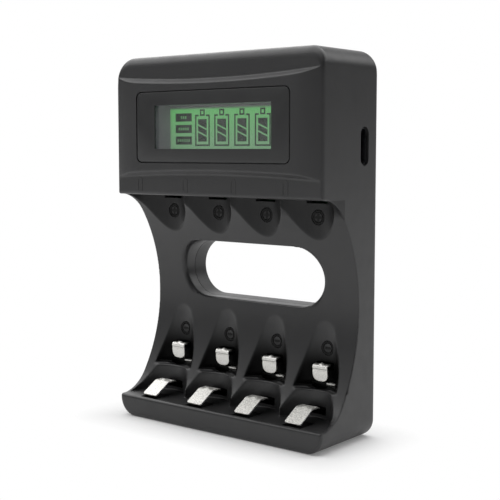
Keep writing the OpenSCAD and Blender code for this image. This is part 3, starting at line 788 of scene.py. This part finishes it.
def front_shell():
    shell = body_block()
    combine(shell, display_pad(), "UNION")
    cut(shell, drawn("recess", recess_outline(edge_r=RECESS_EDGE_R), "x", -BODY_W, BODY_W))
    cut(shell, drawn("hole", hole_outline(), "y", -THROUGH, BODY_D + THROUGH))
    soften(shell, HOLE_ROUND, 6, on_hole_rim, clamped=False)
    for x in BAY_X:
        cut(
            shell,
            post(x, AA_AXIS, AA_R, FLOOR_Z, HEAD_Z),
            post(x, AA_AXIS, AA_R + LEDGE_STEP_W, LEDGE_STEP_Z, LEDGE_Z + 0.1),
            post(x, AAA_AXIS, AAA_R, LEDGE_Z, AAA_DOME_Z),
            ball(x, AAA_AXIS, AAA_DOME_Z, AAA_R),
        )

    # An even mesh, smoothed, gives every moulded edge its small radius, and the lower bays' a larger one
    even, edge_passes, bay_passes, faces = 0.2, 2, 22, 75000
    apply(shell, "REMESH", mode="VOXEL", voxel_size=even / 1000, adaptivity=0)
    apply(shell, "SMOOTH", factor=0.5, iterations=edge_passes)
    soft = shell.vertex_groups.new(name="lower bay edges")
    soft.add(lower_bay_points(shell.data), 1, "REPLACE")
    apply(shell, "SMOOTH", factor=0.5, iterations=bay_passes, vertex_group=soft.name)
    shell.vertex_groups.clear()
    apply(shell, "DECIMATE", ratio=faces / len(shell.data.polygons))

    cut(shell, cavity())
    rim_w, rim_h, rim_r = LENS_W + 2 * LENS_GAP, LENS_H + 2 * LENS_GAP, LENS_R + LENS_GAP
    rim = round_rect(rim_w, rim_h, [rim_r] * 4, (0, LENS_Z))
    cut(shell, drawn("lens pocket", rim, "y", -THROUGH, LENS_T - PAD_PROUD))
    cut(shell, drawn("view", plain_rect(NOSE_W, NOSE_H, (0, LENS_Z)), "y", -THROUGH, THROUGH))
    mouth = stadium(PORT_W + 2 * PORT_GAP, PORT_H + 2 * PORT_GAP)
    cut(shell, drawn("port mouth", [(PORT_DEPTH + b, PORT_Z + a) for a, b in mouth], "x", *PORT_MOUTH))
    for x in BAY_X:
        cut(shell, *contact_openings(x))
    cut(shell, *all_signs())
    smooth(shell, 40)
    apply(shell, "WEIGHTED_NORMAL", keep_sharp=True)
    attach(named("moulded_front_shell", shell), "root", SHELL_ABS, "shell_abs", "front_shell")


def rear_cover():
    """The flat back, let into the shell, with the rear half of the hole's wall."""
    w, h, r = CAVITY_W - 2 * FIT_GAP, CAVITY_H - 2 * FIT_GAP, CAVITY_R - FIT_GAP
    cover = drawn("cover", round_rect(w, h, [r] * 4, (0, BODY_H / 2)), "y", COVER_DEPTH, BODY_D)
    back = at(0, BODY_D - NEAR, 0).y

    def outer_edge(edge):
        return sharp(edge) and all(v.co.y > back for v in edge.verts)

    def hole_edge(edge):
        reach_x, reach_z = HOLE_W / 2 + 0.1, HOLE_H / 2 + 0.1
        return sharp(edge, 50) and all(
            v.co.y > back and abs(v.co.x * 1000) < reach_x and abs(v.co.z * 1000 - HOLE_Z) < reach_z
            for v in edge.verts
        )

    soften(cover, COVER_EDGE_R, 3, outer_edge)
    ring_start, ring_end = SEAM_DEPTH + FIT_GAP, BODY_D - COVER_RING_SUNK
    combine(cover, drawn("hole ring", hole_outline(HOLE_WALL), "y", ring_start, ring_end), "UNION")
    cut(cover, drawn("hole", hole_outline(), "y", 0, BODY_D + THROUGH))
    soften(cover, COVER_RIM_R, 5, hole_edge)
    for x, z in SCREW_SPOTS:
        cut(cover, rod(x, z, SCREW_HEAD_R, COVER_DEPTH, BODY_D + THROUGH))
        cut(cover, rod(x, z, SCREW_HOLE_R, COVER_DEPTH - THROUGH, BODY_D))
    smooth(cover, 40)
    attach(named("moulded_rear_cover", cover), "root", COVER_ABS, "shell_abs", "rear_cover")


def window():
    """A satin black border over clear acrylic."""
    front, back = LENS_SUNK - PAD_PROUD, LENS_T - PAD_PROUD
    face = at(0, front + NEAR, 0).y

    def front_edge(edge):
        return sharp(edge) and all(v.co.y < face for v in edge.verts)

    outline = round_rect(LENS_W - 2 * LENS_TRIM, LENS_H - 2 * LENS_TRIM, [LENS_R] * 4, (0, LENS_Z))
    border = drawn("border", outline, "y", front, front + BORDER_T)
    soften(border, BORDER_EDGE_R, 3, front_edge)
    cut(border, drawn("opening", plain_rect(VIEW_W, VIEW_H, (VIEW_X, LENS_Z)), "y", -THROUGH, THROUGH))
    smooth(border)
    attach(named("window_border", border), "root", LENS_BORDER, "lens_acrylic", "display_lens")
    pane = drawn("pane", outline, "y", front + BORDER_T + LENS_SUNK, back)
    attach(named("clear_window", pane), "root", ACRYLIC, "lens_acrylic")


def display_segments():
    """Four battery symbols with slanted bars, and three labels with bare dashes, on the lit glass."""
    face = GLASS_DEPTH - SEGMENT_T - 0.01
    dark, pale = [], []

    def shape(outline, raised=0):
        segment = drawn("segment", outline, "y", face - raised, face + SEGMENT_T - raised)
        (pale if raised else dark).append(segment)

    def bar(x0, x1, z0, z1, raised=0):
        shape(plain_rect(x1 - x0, z1 - z0, ((x0 + x1) / 2, (z0 + z1) / 2)), raised)

    stroke, half, low, high = 0.4, 2.4, 71.4, 79.2
    neck, cap_x, cap_in, cap_low, cap_high = 1.2, 0.58, 0.38, 78.9, 80.5
    fill_half, lean = 1.42, 0.6
    # Each fill's lower and upper edge: its middle height and how far it leans
    fills = (
        ((72.5, 0), (74.2, lean)),
        ((74.58, lean), (75.9, lean)),
        ((76.28, lean), (78.1, 0)),
    )
    for x in (-7.49, -1.19, 5.21, 11.6):
        bar(x - half, x - half + stroke, low, high)
        bar(x + half - stroke, x + half, low, high)
        bar(x - half + stroke, x + half - stroke, low, low + stroke)
        bar(x - half + stroke, x - neck, high - stroke, high)
        bar(x + neck, x + half - stroke, high - stroke, high)
        for side in (-1, 1):
            bar(x + side * cap_x - stroke / 2, x + side * cap_x + stroke / 2, cap_low, cap_high)
        bar(x - cap_in, x + cap_in, cap_high - stroke, cap_high)
        bar(x - cap_in, x + cap_in, cap_low, cap_low + stroke)
        for (low_mid, low_lean), (high_mid, high_lean) in fills:
            shape(
                [
                    (x - fill_half, low_mid + low_lean),
                    (x + fill_half, low_mid - low_lean),
                    (x + fill_half, high_mid - high_lean),
                    (x - fill_half, high_mid + high_lean),
                ]
            )

    label_left, label_right, label_mid, label_half_h = -16.5, -11.05, -13.78, 1.03
    dash_pitch, dash_half_w, dash_half_h, dash_raised = 0.74, 0.15, 0.34, 0.02
    for mid, dashes in ((78.6, 3), (75.7, 5), (72.8, 6)):
        bar(label_left, label_right, mid - label_half_h, mid + label_half_h)
        for i in range(dashes):
            x = label_mid + (i - (dashes - 1) / 2) * dash_pitch
            bar(x - dash_half_w, x + dash_half_w, mid - dash_half_h, mid + dash_half_h, dash_raised)
    attach(joined("display_segments", dark), "root", SEGMENT, "lcd")
    attach(joined("display_label_dashes", pale), "root", DISPLAY, "lcd")


def bent(path, radius, steps=8):
    """The path with its corners turned to curves of about the given radius."""
    line = [Vector(path[0])]
    for before, corner, after in zip(path, path[1:], path[2:]):
        before, corner, after = Vector(before), Vector(corner), Vector(after)
        into, out = (before - corner).normalized(), (after - corner).normalized()
        half = into.angle(out) / 2
        room = 0.48 * min((before - corner).length, (after - corner).length)
        back = min(radius / math.tan(half), room)
        first, last = corner + into * back, corner + out * back
        for i in range(steps + 1):
            u = i / steps
            line.append(first * (1 - u) ** 2 + corner * 2 * u * (1 - u) + last * u**2)
    return line + [Vector(path[-1])]


def along(line, share):
    """Point and direction at a share of the line's length."""
    lengths = [(b - a).length for a, b in zip(line, line[1:])]
    left = share * sum(lengths)
    for (a, b), length in zip(zip(line, line[1:]), lengths):
        if left <= length or b is line[-1]:
            return a + (b - a) * (left / length), (b - a).normalized()
        left -= length


def strip(name, x, path, width, radius, tip_r=0.0, dimple=None, across=16, steps=72):
    """A flat grid laid along its path, rounded at its far end, dimpled and given its thickness."""
    line = bent(path, radius)
    total = sum((b - a).length for a, b in zip(line, line[1:]))
    clear_selection()
    bpy.ops.mesh.primitive_grid_add(x_subdivisions=across, y_subdivisions=steps, size=2)
    piece = named(name)
    for vertex in piece.data.vertices:
        u, share = vertex.co.x, (vertex.co.y + 1) / 2
        spot, way = along(line, share)
        half = width / 2
        to_end = (1 - share) * total
        if to_end < tip_r:
            half += math.sqrt(max(tip_r**2 - (tip_r - to_end) ** 2, 0)) - tip_r
        if dimple:
            where, reach, rise = dimple
            off = ((u * half) ** 2 + (share * total - where) ** 2) / reach**2
            spot = spot + Vector((way.y, -way.x)) * rise * max(1 - off, 0) ** 1.5
        vertex.co = at(x + u * half, spot.x, spot.y)
    only(piece)
    bpy.ops.object.mode_set(mode="EDIT")
    close_seams()
    bpy.ops.object.mode_set(mode="OBJECT")
    apply(piece, "SOLIDIFY", thickness=STRIP_T / 1000, offset=0)
    edge_r, corner = STRIP_EDGE_R / 1000, math.radians(50)
    apply(piece, "BEVEL", width=edge_r, segments=2, limit_method="ANGLE", angle_limit=corner)
    return smooth(piece, 40)


def leaf_contacts():
    """In each bay a blade for the long cell, with its tail, and a hook for the short cell."""
    for i, x in enumerate(BAY_X, 1):
        blade = strip("blade", x, BLADE_PATH, BLADE_W, BLADE_BEND, BLADE_TIP_R, BLADE_DIMPLE)
        tail = strip("tail", x, TAIL_PATH, TAIL_W, TAIL_BEND, across=6, steps=8)
        leaf = joined(f"aa_leaf_strip_{i}", [blade, tail])
        attach(leaf, f"aa_leaf_{i}", BLADE_NICKEL, "nickel", f"aa_contact_{i}")
        hook = strip("hook", x, HOOK_PATH, HOOK_W, HOOK_BEND, HOOK_TIP_R, HOOK_DIMPLE)
        named(f"aaa_leaf_strip_{i}", hook)
        attach(hook, f"aaa_leaf_{i}", HOOK_NICKEL, "nickel", f"aaa_contact_{i}")


def head_marks():
    """Small upright battery outlines over the bays, faintly raised on the strip under the display."""
    w, h, r, stroke, front, root = 1.7, 3.4, 0.2, 0.3, -0.05, 0.3
    aside, z, cap_w, cap_h, cap_z = -1.2, 61.5, 0.8, 0.4, 63.4
    parts = []
    for bay_x in BAY_X:
        x = bay_x + aside
        outline = drawn("mark", round_rect(w, h, [r] * 4, (x, z), 4), "y", front, root)
        inner = round_rect(w - 2 * stroke, h - 2 * stroke, [r / 2] * 4, (x, z), 4)
        cut(outline, drawn("inside", inner, "y", -THROUGH, THROUGH))
        cap = drawn("cap", plain_rect(cap_w, cap_h, (x, cap_z)), "y", front, root)
        parts += [outline, cap]
    attach(joined("raised_battery_marks", parts), "root", SHELL_ABS, "shell_abs")


def paint_sign_groove_shade():
    """The signs' strokes in matt black, a painted shade that fills their grooves to just under the wall."""
    strokes = all_signs(thick=0.32, sunk=0.3, face=0.02)
    attach(joined("signs_groove_shade", strokes), "root", SIGN_GROOVE_SHADE, "shell_abs")


def port_detail():
    """Gold pins along both faces of the port's tongue."""
    count, pitch, half_w, half_t, span = 6, 0.9, 0.18, 0.39, (27.2, 30.2)
    parts = []
    for i in range(count):
        z = PORT_Z + (i - (count - 1) / 2) * pitch
        depth = (PORT_DEPTH - half_t, PORT_DEPTH + half_t)
        parts.append(block(span, depth, (z - half_w, z + half_w)))
    attach(joined("port_pins", parts), "root", GOLD, "nickel")


# Finishes of the solid model's own pieces
FINISHES = {
    "lcd_frame": FRAME_GREY,
    "lcd_glass": DISPLAY,
    "backlight_panel": LAMP_PANEL,
    "lcd_pins": NICKEL,
    "main_board": BOARD_MASK,
    "controller_chip": CHIP_RESIN,
    "charge_transistors": CHIP_RESIN,
    "power_inductor": FERRITE,
    "filter_capacitors": DRAWN_CAN,
    "sense_resistors": CHIP_RESIN,
    "usb_shell": PORT_NICKEL,
    "usb_tongue": TONGUE_GREY,
    "cover_screws": SCREW_ZINC,
    "board_screws": SCREW_ZINC,
}
for bay in range(1, 5):
    FINISHES[f"positive_contact_{bay}"] = NICKEL
    FINISHES[f"negative_terminal_{bay}"] = TERMINAL_NICKEL


def seen_white(tree, reflected=None):
    """How white a backdrop shows: fully to the eye and through glass, and by a share in a reflection."""
    path = node(tree, "ShaderNodeLightPath")
    direct = node(
        tree,
        "ShaderNodeMath",
        {0: path.outputs["Is Camera Ray"], 1: path.outputs["Is Transmission Ray"]},
        operation="MAXIMUM",
    ).outputs[0]
    mirrored = path.outputs["Is Glossy Ray"]
    if reflected is not None:
        mirrored = node(tree, "ShaderNodeMath", {0: mirrored, 1: reflected}, operation="MULTIPLY").outputs[0]
    return node(tree, "ShaderNodeMath", {0: direct, 1: mirrored}, operation="MAXIMUM").outputs[0]


def floor_paper():
    """White paper: plain white away from the charger, and close to it the paper keeps a soft shadow."""
    material, tree = new_material("white paper floor")
    footprint, shadow_reach, white_at_foot = (BODY_W / 2000, 0.0117, 0), 0.012, 0.15
    white = node(tree, "ShaderNodeEmission", {"Color": (1, 1, 1, 1), "Strength": 1.0})
    sheet = node(tree, "ShaderNodeBsdfDiffuse", {"Color": linear("#f4f4f4")})
    place = node(tree, "ShaderNodeTexCoord").outputs["Object"]
    aside = node(tree, "ShaderNodeVectorMath", {0: place}, operation="ABSOLUTE").outputs[0]
    beyond = node(tree, "ShaderNodeVectorMath", {0: aside, 1: footprint}, operation="SUBTRACT").outputs[0]
    outside = node(tree, "ShaderNodeVectorMath", {0: beyond, 1: (0, 0, 0)}, operation="MAXIMUM").outputs[0]
    away = node(tree, "ShaderNodeVectorMath", {0: outside}, operation="LENGTH").outputs["Value"]
    clear = node(
        tree, "ShaderNodeMapRange", {"Value": away, "From Max": shadow_reach, "To Min": white_at_foot}
    ).outputs[0]
    shown = node(tree, "ShaderNodeMath", {0: clear, 1: seen_white(tree)}, operation="MULTIPLY").outputs[0]
    mixed = node(tree, "ShaderNodeMixShader", {0: shown, 1: sheet.outputs[0], 2: white.outputs[0]})
    node(tree, "ShaderNodeOutputMaterial", {"Surface": mixed.outputs[0]})
    return material


def studio_world():
    """A dim, even world. It shows white to the eye, and in reflections from behind the charger."""
    backdrop_way, backdrop_start, backdrop_full = (-0.62, 0.78, 0), 0.7, 0.9
    world = bpy.data.worlds.new("studio")
    bpy.context.scene.world = world
    world.use_nodes = True
    tree = world.node_tree
    tree.nodes.clear()
    way = node(tree, "ShaderNodeTexCoord").outputs["Generated"]
    behind = node(
        tree, "ShaderNodeVectorMath", {0: way, 1: backdrop_way}, operation="DOT_PRODUCT"
    ).outputs["Value"]
    backdrop = node(
        tree, "ShaderNodeMapRange", {"Value": behind, "From Min": backdrop_start, "From Max": backdrop_full}
    ).outputs[0]
    seen = seen_white(tree, backdrop)
    soft = node(tree, "ShaderNodeBackground", {"Color": (1, 1, 1, 1), "Strength": 0.09})
    white = node(tree, "ShaderNodeBackground", {"Color": (1, 1, 1, 1), "Strength": 1.0})
    mixed = node(tree, "ShaderNodeMixShader", {0: seen, 1: soft.outputs[0], 2: white.outputs[0]})
    node(tree, "ShaderNodeOutputWorld", {"Surface": mixed.outputs[0]})


# Lamps: place and aim in metres, size in metres, power in watts
LAMPS = (
    ("overhead panel", (-0.3, 0.06, 0.82), (0, 0, 0.04), 1.4, 12.6),
    ("back right panel", (0.5, 0.7, 0.8), (0.2, 0.15, 0), 0.9, 5),
    ("front panel", (-0.5, -0.7, 0.5), (0, 0, 0.04), 0.6, 0.75),
)

# Camera, fitted to the view: place in metres, tilt and turn in degrees, and lens
CAMERA_SPOT, CAMERA_TILT, CAMERA_TURN = (0.16497, -0.20361, 0.07075), 84.437, 38.517
CAMERA_LENS, SENSOR_W = 74.93, 36


def studio():
    clear_selection()
    bpy.ops.mesh.primitive_plane_add(size=12, location=(0, 0, 0))
    floor = dress(named("floor"), floor_paper())
    studio_world()

    for name, spot, aim, size, power in LAMPS:
        clear_selection()
        bpy.ops.object.light_add(type="AREA", location=spot)
        lamp = bpy.context.object
        lamp.name = name
        lamp.data.energy = power
        lamp.data.size = size
        lamp.visible_camera = False
        lamp.rotation_euler = (Vector(aim) - Vector(spot)).to_track_quat("-Z", "Y").to_euler()

    clear_selection()
    bpy.ops.object.camera_add(location=CAMERA_SPOT)
    camera = bpy.context.object
    camera.rotation_euler = (math.radians(CAMERA_TILT), 0, math.radians(CAMERA_TURN))
    camera.data.sensor_width = SENSOR_W
    camera.data.lens = CAMERA_LENS
    camera.data.clip_start = 0.01
    camera.data.dof.use_dof = False
    bpy.context.scene.camera = camera
    bpy.context.scene.view_settings.view_transform = "Standard"


front_shell()
rear_cover()
window()
display_segments()
leaf_contacts()
head_marks()
paint_sign_groove_shade()
port_detail()
for node_name, finish in FINISHES.items():
    dress(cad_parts[node_name], finish)
studio()
